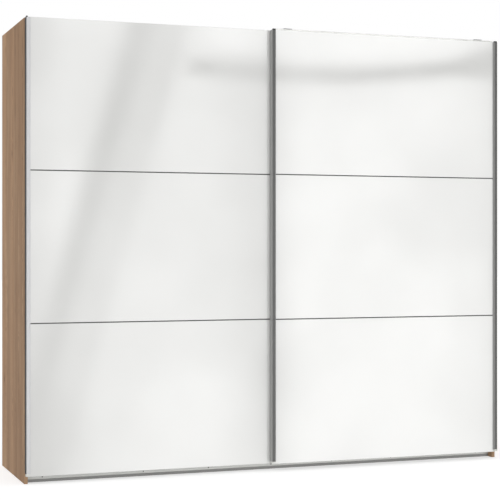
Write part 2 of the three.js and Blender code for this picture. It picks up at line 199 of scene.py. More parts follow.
def oak(name, grain):
    """Planked oak foil. Planks lie side by side along Y, with their grain along `grain`."""
    material, nodes, shader = new_material(name)
    at = nodes.place()
    place = nodes.split(at)
    along, thick = (place[2], place[0]) if grain == "Z" else (place[0], place[2])
    across = place[1]
    lane = nodes.math("DIVIDE", across, PLANK)
    chance = nodes.add("ShaderNodeTexWhiteNoise", noise_dimensions="1D",
                       W=nodes.math("FLOOR", lane)).outputs["Value"]
    shifted = nodes.math("MULTIPLY_ADD", chance, 9.0, along)

    def streaks(wide, tall, detail=4.0, rough=0.55, distortion=0.0):
        vector = nodes.join(nodes.times(across, wide), nodes.times(shifted, tall),
                            nodes.times(thick, wide))
        return nodes.noise(vector, 1.0, detail, rough, distortion)

    # A few knots, each in its own cell of a coarse grid.
    spots = nodes.add("ShaderNodeTexVoronoi", feature="F1", Scale=1.0, Vector=nodes.join(
        nodes.times(across, 19.0), nodes.times(shifted, 8.0), 0.0))
    kept = nodes.math("GREATER_THAN", nodes.split(spots.outputs["Color"])[0], 0.93)
    heart = nodes.times(nodes.span(spots.outputs["Distance"], 0.05, 0.20, 1.0, 0.0), kept)
    swell = nodes.times(nodes.span(spots.outputs["Distance"], 0.08, 0.70, 1.0, 0.0), kept)

    # Growth rings are cylinders that a plank's face cuts, so they draw long arches.
    off = nodes.math("MULTIPLY_ADD", nodes.math("FRACT", lane), PLANK, -0.5 * PLANK)
    off = nodes.plus(off, nodes.math("MULTIPLY_ADD", chance, 0.06, -0.03))
    depth = nodes.math("MULTIPLY_ADD", nodes.line_noise(shifted, 0.9, 1.0), 0.16, -0.045)
    radius = nodes.math("SQRT", nodes.plus(nodes.times(off, off), nodes.times(depth, depth)))
    radius = nodes.math("MULTIPLY_ADD", streaks(11.0, 2.4, detail=3.0), 0.022, radius)
    radius = nodes.math("MULTIPLY_ADD", swell, 0.012, radius)
    rings = nodes.line_noise(radius, 330.0, 2.0, 0.6)

    broad = streaks(19.0, 1.3, distortion=0.4)
    fibre = streaks(420.0, 7.0, detail=5.0, rough=0.65)
    pores = nodes.span(streaks(1500.0, 42.0, detail=2.0), 0.60, 0.72)
    seam = nodes.math("ABSOLUTE", nodes.minus(nodes.math("FRACT", lane), 0.5))
    joint = nodes.span(seam, 0.488, 0.499)
    tone = nodes.span(chance, 0.0, 1.0, 0.88, 1.10)
    colour = nodes.ramp(broad, (0.34, (0.405, 0.236, 0.131)), (0.50, (0.470, 0.287, 0.164)),
                        (0.66, (0.530, 0.345, 0.207)))
    for factor in (nodes.ramp(rings, (0.32, 0.80), (0.50, 0.98), (0.66, 1.07)),
                   nodes.join(tone, tone, tone).outputs[0],
                   nodes.ramp(fibre, (0.30, 0.88), (0.70, 1.06))):
        colour = nodes.tint(colour, factor)
    for mark, share, shade in ((pores, 0.35, (0.17, 0.10, 0.06)), (swell, 0.22, (0.26, 0.14, 0.075)),
                               (heart, 0.75, (0.12, 0.065, 0.038)), (joint, 0.45, (0.16, 0.10, 0.06))):
        colour = nodes.mix(nodes.times(mark, share), colour, shade)

    # Faces that look back are raw, and show the chipboard.
    chips = nodes.add("ShaderNodeTexVoronoi", feature="F1", Vector=at, Scale=420.0, Randomness=1.0)
    chipboard = nodes.ramp(chips.outputs["Color"], (0.1, (0.26, 0.165, 0.09)),
                           (0.5, (0.42, 0.29, 0.175)), (0.9, (0.56, 0.42, 0.27)))
    chipboard = nodes.tint(chipboard, nodes.ramp(nodes.noise(at, 700.0, 3.0), (0.3, 0.8), (0.7, 1.0)))
    nodes.set(shader, Base_Color=nodes.mix(facing_back(nodes), colour, chipboard),
              Roughness=nodes.span(fibre, 0.3, 0.7, 0.52, 0.66), Specular_IOR_Level=0.35)
    height = nodes.minus(nodes.minus(fibre, nodes.times(pores, 0.6)), joint)
    bump(nodes, shader, height, 0.35, 0.0004)
    return material


def facing_back(nodes):
    """1 where the surface looks along +Y in the piece's own frame, 0 elsewhere."""
    return nodes.span(nodes.normal()[1], 0.80, 0.95)


def fine_noise(nodes, grain):
    """Fine noise; grain sets its frequency along X, Y and Z."""
    scaled = nodes.add("ShaderNodeVectorMath", operation="MULTIPLY", In_0=nodes.place(), In_1=grain)
    return nodes.noise(scaled.outputs[0], 1.0, 4.0, 0.6)


def simple(name, colour, roughness, metallic=0.0, grain=(900.0, 900.0, 900.0), vary=0.06,
           rough_vary=0.08):
    """A plain surface with fine mottling."""
    material, nodes, shader = new_material(name)
    mottle = fine_noise(nodes, grain)
    low = tuple(c * (1 - vary) for c in colour)
    high = tuple(min(1.0, c * (1 + vary)) for c in colour)
    cloud = nodes.ramp(nodes.noise(nodes.place(), 6.0, 2.0), (0.3, 1 - vary / 2), (0.7, 1.0))
    nodes.set(shader, Base_Color=nodes.tint(nodes.ramp(mottle, (0.3, low), (0.7, high)), cloud),
              Roughness=nodes.span(mottle, 0.3, 0.7, max(0.02, roughness - rough_vary / 2),
                                   roughness + rough_vary / 2), Metallic=metallic)
    bump(nodes, shader, mottle, 0.2, 0.0001)
    return material


def drawn_finish(nodes, shader, tone, grain, roughness, **inputs):
    """Aluminium of one tone with the fine lines that drawing leaves along it."""
    drawn = fine_noise(nodes, grain)
    lines = nodes.ramp(drawn, (0.3, 0.92), (0.7, 1.05))
    nodes.set(shader, Base_Color=nodes.tint(tone, lines),
              Roughness=nodes.span(drawn, 0.3, 0.7, *roughness), **inputs)
    bump(nodes, shader, drawn, 0.2, 0.00005)


def profile_with_painted_flank_light(name, face, flank, turn=(0.25, 0.95), outward=0):
    """Drawn aluminium along Z: one tone on the front face and another on the flanks; the flank tone is
    painted light and shade, lighter where a flank catches light and darker where it sits in shade.

    The tones blend where |normal x| lies within `turn`; `outward` keeps to one flank, by its sign.
    """
    material, nodes, shader = new_material(name)
    normal_x = nodes.normal()[0]
    sideways = nodes.times(normal_x, outward) if outward else nodes.math("ABSOLUTE", normal_x)
    # Painted light and shade: the flanks take their own tone by the way their normal faces.
    tone = nodes.mix(nodes.span(sideways, *turn), face, flank)
    drawn_finish(nodes, shader, tone, (2600.0, 2600.0, 11.0), (0.44, 0.52), Metallic=0.2,
                 Sheen_Weight=0.3, Sheen_Roughness=0.3)
    return material


def guide_with_painted_shade():
    """Satin aluminium drawn along X; the foot that leans back to the floor is painted much darker, a painted
    shade for the shadow under the shelves.
    """
    material, nodes, shader = new_material("guide_aluminium_painted_shade")
    # Painted shade: faces that look down get the dark tone.
    foot = nodes.span(nodes.normal()[2], -0.06, -0.15)
    tone = nodes.mix(foot, (0.67, 0.675, 0.65), (0.30, 0.30, 0.29))
    drawn_finish(nodes, shader, tone, (11.0, 2600.0, 2600.0), (0.40, 0.50), Metallic=0.15)
    return material


def hardboard():
    """Pressed fibre, bare behind and coated pale on the side that faces the inside."""
    material, nodes, shader = new_material("hardboard")
    at = nodes.place()
    fibre = nodes.noise(at, 260.0, 6.0, 0.7, 1.2)
    bare = nodes.ramp(fibre, (0.30, (0.155, 0.092, 0.048)), (0.5, (0.225, 0.140, 0.078)),
                      (0.72, (0.320, 0.215, 0.130)))
    bare = nodes.tint(bare, nodes.ramp(nodes.noise(at, 3.0, 3.0), (0.3, 0.88), (0.7, 1.0)))
    coated = nodes.ramp(fibre, (0.3, (0.56, 0.525, 0.465)), (0.7, (0.61, 0.575, 0.515)))
    nodes.set(shader, Base_Color=nodes.mix(facing_back(nodes), coated, bare),
              Roughness=nodes.span(fibre, 0.3, 0.7, 0.62, 0.82))
    bump(nodes, shader, fibre, 0.3, 0.0003)
    return material


def glass_white():
    """Clear glass painted white on its back: white under a polished face, slightly smeared."""
    material, nodes, shader = new_material("white_glass")
    at = nodes.place()
    smear = nodes.noise(at, 2.6, 3.0)
    white = nodes.ramp(smear, (0.35, (0.798, 0.798, 0.780)), (0.65, (0.812, 0.812, 0.795)))
    edge = nodes.span(nodes.math("ABSOLUTE", nodes.normal()[1]), 0.75, 0.95, 1.0, 0.0)
    nodes.set(shader, Base_Color=nodes.mix(edge, white, (0.34, 0.47, 0.41)),
              Roughness=nodes.span(smear, 0.3, 0.7, 0.045, 0.07), IOR=1.52, Specular_IOR_Level=0.8)
    bump(nodes, shader, nodes.noise(at, 3.0, 0.0), 0.15, 0.0006)
    return material


ALONG_X = (14.0, 2500.0, 2500.0)  # the grain of metal drawn along X
OAK_UPRIGHT = oak("oak_upright", "Z")
OAK_LEVEL = oak("oak_level", "X")
WHITE_GLASS = glass_white()
PALE_FOIL = simple("pale_foil", (0.72, 0.715, 0.69), 0.5)
HARDBOARD = hardboard()
# The grip profiles' flanks are painted far lighter than their front faces: painted light.
GREY_ALUMINIUM_PAINTED_LIGHT = profile_with_painted_flank_light("grey_aluminium", (0.104, 0.104, 0.101), (0.375, 0.375, 0.37))
# The shallow edge profiles: a light front face, and the outward flank painted near black, a painted shade
# for the dark gap beside the side panel.
EDGE_ALUMINIUM_PAINTED_SHADE = {
    side: profile_with_painted_flank_light(f"edge_aluminium_painted_shade_{side}", (0.655, 0.655, 0.665), (0.030, 0.027, 0.025),
                         (0.08, 0.45), outward)
    for side, outward in (("left", -1), ("right", 1))}
GREY_STRIP = simple("grey_strip", (0.11, 0.11, 0.107), 0.5, 0.2, ALONG_X)
SILVER_ALUMINIUM = simple("silver_aluminium", (0.56, 0.56, 0.54), 0.34, 1.0, ALONG_X)
GUIDE_ALUMINIUM_PAINTED_SHADE = guide_with_painted_shade()
ZINC = simple("zinc_steel", (0.38, 0.39, 0.40), 0.38, 1.0, (300.0, 300.0, 300.0))
BLACKED_STEEL = simple("blacked_steel", (0.05, 0.05, 0.05), 0.45, 0.8, (500.0, 500.0, 500.0))
CHROME = simple("chrome", (0.75, 0.76, 0.77), 0.10, 1.0, (14.0, 1500.0, 1500.0), rough_vary=0.04)
NYLON = simple("nylon", (0.74, 0.74, 0.70), 0.45)
DARK_PLASTIC = simple("dark_plastic", (0.022, 0.022, 0.024), 0.5)
CAP_BLACK = simple("cap_black", (0.018, 0.018, 0.019), 0.55)
RUBBER = simple("rubber", (0.03, 0.03, 0.03), 0.8, vary=0.15)

SLOT_MATERIAL = {
    "oak_board": OAK_LEVEL, "pale_board": PALE_FOIL, "hardboard": HARDBOARD,
    "white_glass": WHITE_GLASS, "grey_aluminium": GREY_ALUMINIUM_PAINTED_LIGHT,
    "silver_aluminium": SILVER_ALUMINIUM, "zinc_steel": ZINC, "chrome": CHROME,
    "nylon": NYLON, "dark_plastic": DARK_PLASTIC,
}
SLOTS = {part["node"]: part["material_slot"] for part in frame["record"]["subparts"]}


def dress_cad_nodes():
    for name, node in frame["nodes"].items():
        node.data.materials.clear()
        node.data.materials.append(SLOT_MATERIAL[SLOTS[name]])


# ---- mesh helpers ----
SHARP_ABOVE = math.radians(20)  # edges that turn further than this stay crisp
AXES = {"X": (1, 2, 0), "Y": (0, 2, 1), "Z": (0, 1, 2)}
X, Y, Z = Vector((1, 0, 0)), Vector((0, 1, 0)), Vector((0, 0, 1))
SIDES = {"left": 1, "right": -1}  # name: the sign of X towards the middle
CARCASS = "side_panel_left"  # a node of the body that carries the loose fittings


def piece(name, bm, material, like, stands_for=()):
    """Turns the mesh into an object that rides with the body of the CAD node `like`."""
    bmesh.ops.recalc_face_normals(bm, faces=bm.faces)
    mesh = bpy.data.meshes.new(name)
    bm.to_mesh(mesh)
    bm.free()
    mesh.polygons.foreach_set("use_smooth", [True] * len(mesh.polygons))
    mesh.set_sharp_from_angle(angle=SHARP_ABOVE)
    mesh.materials.append(material)
    obj = bpy.data.objects.new(name, mesh)
    SCENE.collection.objects.link(obj)
    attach(obj, frame["nodes"][like]["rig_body"])
    if stands_for:
        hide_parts(*stands_for)
    return obj


def stand_for(node, bm, material, suffix="body"):
    return piece(f"{node}_{suffix}", bm, material, node, stands_for=(node,))


def corner_arc(last, at, after, radius, steps):
    """Points of the arc that rounds the corner `at` between its two neighbours."""
    to_last, to_next = (last - at).normalized(), (after - at).normalized()
    half = to_last.angle(to_next) / 2
    reach = radius / math.tan(half)
    centre = at + (to_last + to_next).normalized() * (radius / math.sin(half))
    start, end = at + to_last * reach - centre, at + to_next * reach - centre
    sweep = -start.angle_signed(end)
    return [centre + Matrix.Rotation(sweep * k / steps, 2) @ start for k in range(steps + 1)]


def outline(*corners, steps=4):
    """A closed outline of (a, b) or (a, b, radius) corners; a radius rounds its corner."""
    spots = [Vector(corner[:2]) for corner in corners]
    points = []
    for i, corner in enumerate(corners):
        if len(corner) == 2:
            points.append(spots[i])
            continue
        after = spots[(i + 1) % len(spots)]
        points += corner_arc(spots[i - 1], spots[i], after, corner[2], steps)
    return points


def bent_strip(path, thick, bend, steps=6):
    """The outline of a strip of sheet metal whose middle follows a path with rounded bends."""
    path = [Vector(point) for point in path]
    middle = [path[0]]
    for last, at, after in zip(path, path[1:], path[2:]):
        middle += corner_arc(last, at, after, bend, steps)
    middle.append(path[-1])
    left, right = [], []
    for i, point in enumerate(middle):
        along = (middle[min(i + 1, len(middle) - 1)] - middle[max(i - 1, 0)]).normalized()
        side = Vector((-along.y, along.x)) * thick / 2
        left.append(point + side)
        right.append(point - side)
    return left + right[::-1]


def circle(radius, steps):
    angles = [math.tau * i / steps for i in range(steps)]
    return [(radius * math.cos(angle), radius * math.sin(angle)) for angle in angles]


def oval(centre, wide, high, steps=12):
    r, straight = wide / 2, (high - wide) / 2
    points = []
    for middle, first in ((straight, 0.0), (-straight, math.pi)):
        for k in range(steps + 1):
            angle = first + math.pi * k / steps
            points.append(Vector((centre[0] + r * math.cos(angle),
                                  centre[1] + middle + r * math.sin(angle))))
    return points


def ring_at(bm, points, axis, level):
    a, b, c = AXES[axis]
    ring = []
    for point in points:
        place = [0.0, 0.0, 0.0]
        place[a], place[b], place[c] = point[0], point[1], level
        ring.append(bm.verts.new(place))
    return ring


def join_rings(bm, one, other):
    for i in range(len(one)):
        bm.faces.new((one[i - 1], one[i], other[i], other[i - 1]))


def fill(bm, rings, flat):
    """Closes the level face between an outer ring and those inside it; flat holds their 2D points."""
    verts = [vert for ring in rings for vert in ring]
    for triangle in tessellate_polygon([[Vector((p[0], p[1], 0)) for p in loop] for loop in flat]):
        bm.faces.new([verts[i] for i in triangle])


def prism(loops, axis, low, high):
    """A solid drawn out along an axis; loops are its outline and then its holes."""
    bm = bmesh.new()
    nears = [ring_at(bm, loop, axis, low) for loop in loops]
    fars = [ring_at(bm, loop, axis, high) for loop in loops]
    for near, far in zip(nears, fars):
        join_rings(bm, near, far)
    for rings in (nears, fars):
        if len(loops) == 1:
            bm.faces.new(rings[0])
        else:
            fill(bm, rings, loops)
    return bm


def soften(bm, edges, radius, segments):
    bmesh.ops.bevel(bm, geom=edges, offset=radius, offset_type="OFFSET", segments=segments,
                    profile=0.5, affect="EDGES", clamp_overlap=True)


def block(low, high, radius, segments=2):
    """A box with rounded edges."""
    bm = bmesh.new()
    for vert in bmesh.ops.create_cube(bm, size=1.0)["verts"]:
        vert.co = Vector([low[i] + (vert.co[i] + 0.5) * (high[i] - low[i]) for i in range(3)])
    soften(bm, list(bm.edges), radius, segments)
    return bm


def lathe(bm, profile, origin, axis, steps=48):
    """Turns a closed (radius, along) profile about an axis; radius 0 is a pole."""
    turn = axis.to_track_quat("Z", "Y").to_matrix()
    rings = []
    for radius, along in profile:
        spots = circle(radius, steps if radius else 1)
        rings.append([bm.verts.new(origin + turn @ Vector((x, y, along))) for x, y in spots])
    for one, other in zip(rings, rings[1:] + rings[:1]):
        if len(one) > 1 and len(other) > 1:
            join_rings(bm, one, other)
        elif len(one) > 1 or len(other) > 1:
            rim, pole = (one, other[0]) if len(one) > 1 else (other, one[0])
            for i in range(steps):
                bm.faces.new((rim[i - 1], rim[i], pole))


def screw(bm, at, out, radius, height, steps=20):
    """A domed head with a cross recess, seated at `at` and looking along `out`."""
    turn = out.to_track_quat("Z", "Y").to_matrix()

    def ring(points, along):
        return [bm.verts.new(at + turn @ Vector((x, y, along))) for x, y in points]

    crown = math.radians(50)
    rings = []
    for k in range(4):
        angle = crown * k / 3
        rim = circle(radius * math.cos(angle), steps)
        rings.append(ring(rim, height * math.sin(angle) / math.sin(crown)))
    for one, other in zip(rings, rings[1:]):
        join_rings(bm, one, other)
    bm.faces.new(rings[0])
    long, wide = radius * 0.48, radius * 0.12
    cross = []
    for i in range(4):
        quarter = Matrix.Rotation(math.pi / 2 * i, 2)
        cross += [tuple(quarter @ Vector(p)) for p in ((long, -wide), (long, wide), (wide, wide))]
    brim, floor = ring(cross, height), ring(cross, height * 0.35)
    join_rings(bm, brim, floor)
    bm.faces.new(floor)
    fill(bm, (rings[-1], brim), (rim, cross))


def screws(name, places, out, radius, height, like, material=ZINC, steps=20):
    """One piece that holds several alike screws."""
    bm = bmesh.new()
    for place in places:
        screw(bm, Vector(place), out, radius, height, steps)
    piece(name, bm, material, like)


def drill(bm, outward, centres, radius, depth, steps=12):
    """Blind holes in the outermost face that is square to `outward`."""
    bm.normal_update()
    square = [face for face in bm.faces if abs(face.normal.dot(outward)) > 0.99]
    face = max(square, key=lambda f: (round(f.calc_center_median().dot(outward), 5), f.calc_area()))
    turn = outward.to_track_quat("Z", "Y").to_matrix()
    loops = [list(face.verts)]
    bm.faces.remove(face)
    for centre in centres:
        spokes = [turn @ Vector((x, y, 0)) for x, y in circle(radius, steps)]
        rim = [bm.verts.new(centre + spoke) for spoke in spokes]
        foot = [bm.verts.new(centre + spoke - outward * depth) for spoke in spokes]
        join_rings(bm, rim, foot)
        bm.faces.new(foot)
        loops.append(rim)
    fill(bm, loops, [[turn.transposed() @ vert.co for vert in loop] for loop in loops])
    bmesh.ops.dissolve_degenerate(bm, dist=1e-6, edges=bm.edges)


# ---- carcass boards ----
GAP = 0.3 * MM
BAND = 0.8 * MM  # thickness of the edge bands
BAND_ROUND = 0.35 * MM
BOARD_ROUND = 0.12 * MM
PIN_RADIUS = 2.5 * MM
PIN_DEPTH = 9 * MM
PARTITION_PIN_DEPTH = 6 * MM  # drilled from both sides, and still blind
PIN_PITCH = 32 * MM
PIN_ROWS = (340 * MM, 1690 * MM)  # lowest and highest row
PIN_INSET = 37 * MM  # a column of holes behind a board's front or before its rear
BAND_SIDES = {"front": (1, -1), "top": (2, 1), "bottom": (2, -1)}
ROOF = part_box("top_panel_left")
FLOOR_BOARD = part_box("bottom_panel_left")
INNER_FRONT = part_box("front_plinth")[0].y
INNER_REAR = ROOF[1].y


def pin_places(low_y, high_y, x):
    rows = int((PIN_ROWS[1] - PIN_ROWS[0]) / PIN_PITCH)
    return [Vector((x, y, PIN_ROWS[0] + PIN_PITCH * row))
            for y in (low_y + PIN_INSET, high_y - PIN_INSET) for row in range(rows + 1)]


def banded_board(node, material, bands, holes_towards=0):
    """A coated board with thin bands on some edges, and rows of pin holes in one face."""
    low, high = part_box(node)
    core = [low.copy(), high.copy()]
    for side in bands:
        axis, sign = BAND_SIDES[side]
        strip = [low.copy(), high.copy()]
        if sign < 0:
            strip[1][axis] = core[0][axis] = low[axis] + BAND
        else:
            strip[0][axis] = core[1][axis] = high[axis] - BAND
        if side == "front" and "top" in bands:
            strip[1].z = high.z - BAND
        piece(f"{node}_{side}_band", block(*strip, BAND_ROUND), material, node)
    bm = block(*core, BOARD_ROUND, 1)
    if holes_towards:
        face_x = high.x if holes_towards > 0 else low.x
        drill(bm, X * holes_towards, pin_places(INNER_FRONT, INNER_REAR, face_x), PIN_RADIUS, PIN_DEPTH)
    stand_for(node, bm, material)


def make_partition():
    """The centre board, notched over both plinths and drilled from both sides."""
    node = "centre_partition"
    low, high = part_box(node)
    roof = ROOF[0].z
    front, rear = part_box("front_plinth"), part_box("rear_plinth")
    sill = front[1].z + GAP
    face = INNER_FRONT + BAND
    bm = prism([outline(
        (face, sill), (front[1].y + GAP, sill), (front[1].y + GAP, 0), (rear[0].y - GAP, 0),
        (rear[0].y - GAP, sill), (rear[1].y + GAP, sill), (rear[1].y + GAP, 0), (high.y, 0),
        (high.y, high.z), (low.y, high.z), (low.y, roof), (face, roof))], "X", low.x, high.x)
    for x, outward in ((low.x, -X), (high.x, X)):
        drill(bm, outward, pin_places(INNER_FRONT, high.y, x), PIN_RADIUS, PARTITION_PIN_DEPTH)
    stand_for(node, bm, OAK_UPRIGHT)
    bm = block((low.x, INNER_FRONT, sill), (high.x, face, roof), BAND_ROUND)
    piece(f"{node}_front_band", bm, OAK_UPRIGHT, node)


def make_boards():
    for side, inward in SIDES.items():
        banded_board(f"side_panel_{side}", OAK_UPRIGHT, ("front", "top"), inward)
        for name in ("top_panel", "bottom_panel", "hat_shelf"):
            banded_board(f"{name}_{side}", OAK_LEVEL, ("front",))
    for name in ("front_plinth", "rear_plinth"):
        banded_board(name, OAK_LEVEL, ("bottom",))
    make_partition()


# ---- carcass fittings ----
EDGE_SOFT = 0.4 * MM  # rounding of a metal section's corners
CAM_RADIUS = 7.5 * MM
CAM_INSET = 24 * MM
CAM_SHARES = (0.22, 0.55, 0.88)  # of a board's depth
NAIL_PITCH = 118 * MM
NAIL_ROW_PITCH = 1.3 * NAIL_PITCH  # up the middle of the back
NAIL_ASIDE = 4.5 * MM  # from the middle of the back
SOCKET_FIT = 0.4 * MM  # between a clothes rail and its socket
SOCKET_PLATE = 3 * MM  # the cup's closed end


def make_cams():
    """Cam locks that pull the level boards to the uprights."""
    for name, up in (("top_panel", 1), ("bottom_panel", -1), ("hat_shelf", -1)):
        places = []
        for side in SIDES:
            low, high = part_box(f"{name}_{side}")
            places += [(x, low.y + (high.y - low.y) * share, high.z if up > 0 else low.z)
                       for x in (low.x + CAM_INSET, high.x - CAM_INSET) for share in CAM_SHARES]
        screws(f"{name}_cams", places, Z * up, CAM_RADIUS, GAP, CARCASS, steps=28)


def make_shelf_pins():
    bm = bmesh.new()
    pin, collar, reach = PIN_RADIUS, 4.2 * MM, PIN_DEPTH
    for side in SIDES:
        low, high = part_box(f"hat_shelf_{side}")
        for x, inward in ((low.x, X), (high.x, -X)):
            for y in (INNER_FRONT + PIN_INSET, INNER_REAR - PIN_INSET):
                at = Vector((x, y, low.z - collar))
                lathe(bm, [(0, 0), (collar, 0), (collar, 1.2 * MM), (pin, 1.6 * MM),
                           (pin, reach - 0.6 * MM), (pin - 0.6 * MM, reach), (0, reach)], at, inward, 24)
    piece("shelf_pins", bm, ZINC, CARCASS)


def make_back_nails():
    """Level rows into the top and bottom panels, and two rows up the partition's rear edge."""
    bm = bmesh.new()
    head = [(0, 0), (2.3 * MM, 0), (2.1 * MM, 0.5 * MM), (1.2 * MM, 0.8 * MM), (0, 0.9 * MM)]
    upper, lower = ((board[0].z + board[1].z) / 2 for board in (ROOF, FLOOR_BOARD))
    for side, inward in SIDES.items():
        places = []
        for sheet in ("inner", "outer"):
            low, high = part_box(f"back_panel_{side}_{sheet}")
            count = round((high.x - low.x) / NAIL_PITCH)
            places += [(low.x + (high.x - low.x) * (i + 0.5) / count, high.y, z)
                       for z in (upper, lower) for i in range(count)]
        rows = round((upper - lower) / NAIL_ROW_PITCH)
        places += [(-inward * NAIL_ASIDE, high.y, lower + (upper - lower) * i / rows)
                   for i in range(1, rows)]
        for place in places:
            lathe(bm, head, Vector(place), Y, 12)
    piece("back_nails", bm, ZINC, CARCASS)


def make_back_joiner(side):
    """An H-section strip that holds the edges of two back sheets."""
    node = f"back_joiner_{side}"
    low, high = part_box(node)
    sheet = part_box(f"back_panel_{side}_inner")
    x = (low.x + high.x) / 2
    web, soft = 0.7 * MM, 0.6 * MM
    inner, outer = sheet[0].y - GAP, sheet[1].y + GAP
    bm = prism([outline(
        (low.x, low.y, soft), (high.x, low.y, soft), (high.x, inner), (x + web, inner), (x + web, outer),
        (high.x, outer), (high.x, high.y, soft), (low.x, high.y, soft), (low.x, outer), (x - web, outer),
        (x - web, inner), (low.x, inner))], "Z", low.z, high.z)
    stand_for(node, bm, PALE_FOIL)


def make_clothes_rail(side):
    """An oval tube, and the cup at each end that it sits in."""
    node = f"clothes_rail_{side}"
    low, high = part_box(node)
    centre = ((low.y + high.y) / 2, (low.z + high.z) / 2)
    wide, tall, wall = high.y - low.y, high.z - low.z, 1.5 * MM
    bm = prism([oval(centre, wide, tall), oval(centre, wide - 2 * wall, tall - 2 * wall)],
               "X", low.x, high.x)
    stand_for(node, bm, CHROME)
    for end, inward in SIDES.items():
        cup = f"rail_socket_{side}_{end}"
        cup_low, cup_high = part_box(cup)
        wall_x = cup_low.x if inward > 0 else cup_high.x
        rim = cup_high.x - cup_low.x
        outer = (cup_high.y - cup_low.y - wide) / 2
        fit, soft = SOCKET_FIT, 0.9 * MM
        bm = bmesh.new()
        rings = [ring_at(bm, oval(centre, wide + 2 * grow, tall + 2 * grow), "X", wall_x + inward * along)
                 for grow, along in ((outer, 0), (outer, rim - soft), (outer - soft * 0.3, rim - soft * 0.3),
                                     (outer - soft, rim), (fit + soft * 0.4, rim),
                                     (fit, rim - soft * 0.4), (fit, SOCKET_PLATE))]
        for one, other in zip(rings, rings[1:]):
            join_rings(bm, one, other)
        bm.faces.new(rings[0])
        bm.faces.new(rings[-1])
        stand_for(cup, bm, ZINC)


# ---- rails ----
RUN_WALL = 2 * MM
RUN_LIP = 4 * MM
RIB_HALF = 1.5 * MM
RUN_SCREWS = 8
GUIDE_WALL = 2 * MM
GUIDE_STEP = 1.4 * MM
GUIDE_SHELVES = (64 * MM, 42 * MM)  # undersides of the two shelves, the rear door's first
RIB_RISE = 12 * MM
GUIDE_FOOT = 13 * MM
GUIDE_TUCK = 1.2 * MM  # how far the foot leans back at the floor
GUIDE_SCREW_Z = 23 * MM
GUIDE_SCREW_X = (0.0, 326 * MM, 654 * MM, 1143 * MM)
STOP_BUFFER = 3 * MM  # thickness of a stop's rubber face
STOP_BUFFER_INSET = 2 * MM
STOP_SCREW_Y = 10 * MM  # from the stop's middle
STOP_SCREW_BACK = 5.5 * MM  # from the rubber


def track_y(node):
    """A running track's centre line, from a wheel that runs on it."""
    low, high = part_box(node)
    return (low.y + high.y) / 2


def make_running_rail():
    """A channel on the roof with an upright rib for each door's wheels."""
    low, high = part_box("running_rail")
    base, lip, soft = low.z + RUN_WALL, low.z + RUN_LIP, EDGE_SOFT
    tracks = [track_y(f"{door}_wheel_left") for door in ("right_door", "left_door")]
    corners = [(low.y, low.z, soft), (high.y, low.z, soft), (high.y, lip, soft),
               (high.y - RUN_WALL, lip, soft), (high.y - RUN_WALL, base, soft)]
    for y in tracks:
        corners += [(y + RIB_HALF, base, soft), (y + RIB_HALF, high.z, RIB_HALF * 0.96),
                    (y - RIB_HALF, high.z, RIB_HALF * 0.96), (y - RIB_HALF, base, soft)]
    corners += [(low.y + RUN_WALL, base, soft), (low.y + RUN_WALL, lip, soft), (low.y, lip, soft)]
    stand_for("running_rail", prism([outline(*corners, steps=6)], "X", low.x, high.x), SILVER_ALUMINIUM)
    places = [(low.x + (high.x - low.x) * (i + 0.5) / RUN_SCREWS, sum(tracks) / 2, base)
              for i in range(RUN_SCREWS)]
    screws("running_rail_screws", places, Z, 4 * MM, 0.9 * MM, CARCASS)


def make_guide_rail():
    """The rail on the plinth: a web, two shelves with upturned ribs and a stepped foot."""
    low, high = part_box("guide_rail")
    face = high.y - GUIDE_WALL
    soft = EDGE_SOFT
    corners = [(high.y, 0), (high.y, high.z, soft), (face, high.z, soft)]
    for shelf in GUIDE_SHELVES:
        rib_top = shelf + RIB_RISE
        corners += [(face, shelf + GUIDE_WALL, soft), (low.y + GUIDE_WALL, shelf + GUIDE_WALL, soft),
                    (low.y + GUIDE_WALL, rib_top, soft), (low.y, rib_top, soft),
                    (low.y, shelf, 2 * soft), (face, shelf, soft)]
    corners = corners[:-1]
    corners += [(face, shelf), (face - GUIDE_STEP, shelf - GUIDE_STEP, soft),
                (face - GUIDE_STEP, GUIDE_FOOT + GUIDE_STEP, soft), (face + GUIDE_TUCK, 0)]
    stand_for("guide_rail", prism([outline(*corners)], "X", low.x, high.x), GUIDE_ALUMINIUM_PAINTED_SHADE)
    places = [(x, face - GUIDE_STEP, GUIDE_SCREW_Z)
              for x in sorted({sign * x for x in GUIDE_SCREW_X for sign in (-1, 1)})]
    screws("guide_rail_screws", places, -Y, 2.7 * MM, 0.8 * MM, CARCASS, BLACKED_STEEL)


def make_track_stop(side, inward):
    """A plastic block with a rubber face towards the doors and screws down into the rail."""
    node = f"track_stop_{side}"
    low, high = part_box(node)
    back_x, buffer_x = (low.x, high.x) if inward > 0 else (high.x, low.x)
    seam_x = buffer_x - inward * STOP_BUFFER
    ends = sorted((back_x, seam_x))
    stand_for(node, block((ends[0], low.y, low.z), (ends[1], high.y, high.z), 1.2 * MM, 3), DARK_PLASTIC)
    ends = sorted((buffer_x, seam_x))
    inset = STOP_BUFFER_INSET
    bm = block((ends[0], low.y + inset, low.z + inset), (ends[1], high.y - inset, high.z - inset),
               1.1 * MM, 3)
    piece(f"{node}_buffer", bm, RUBBER, node)
    middle_y = (low.y + high.y) / 2
    places = [(seam_x - inward * STOP_SCREW_BACK, middle_y + off, high.z)
              for off in (-STOP_SCREW_Y, STOP_SCREW_Y)]
    screws(f"{node}_screws", places, Z, 3.2 * MM, 1.2 * MM, node)


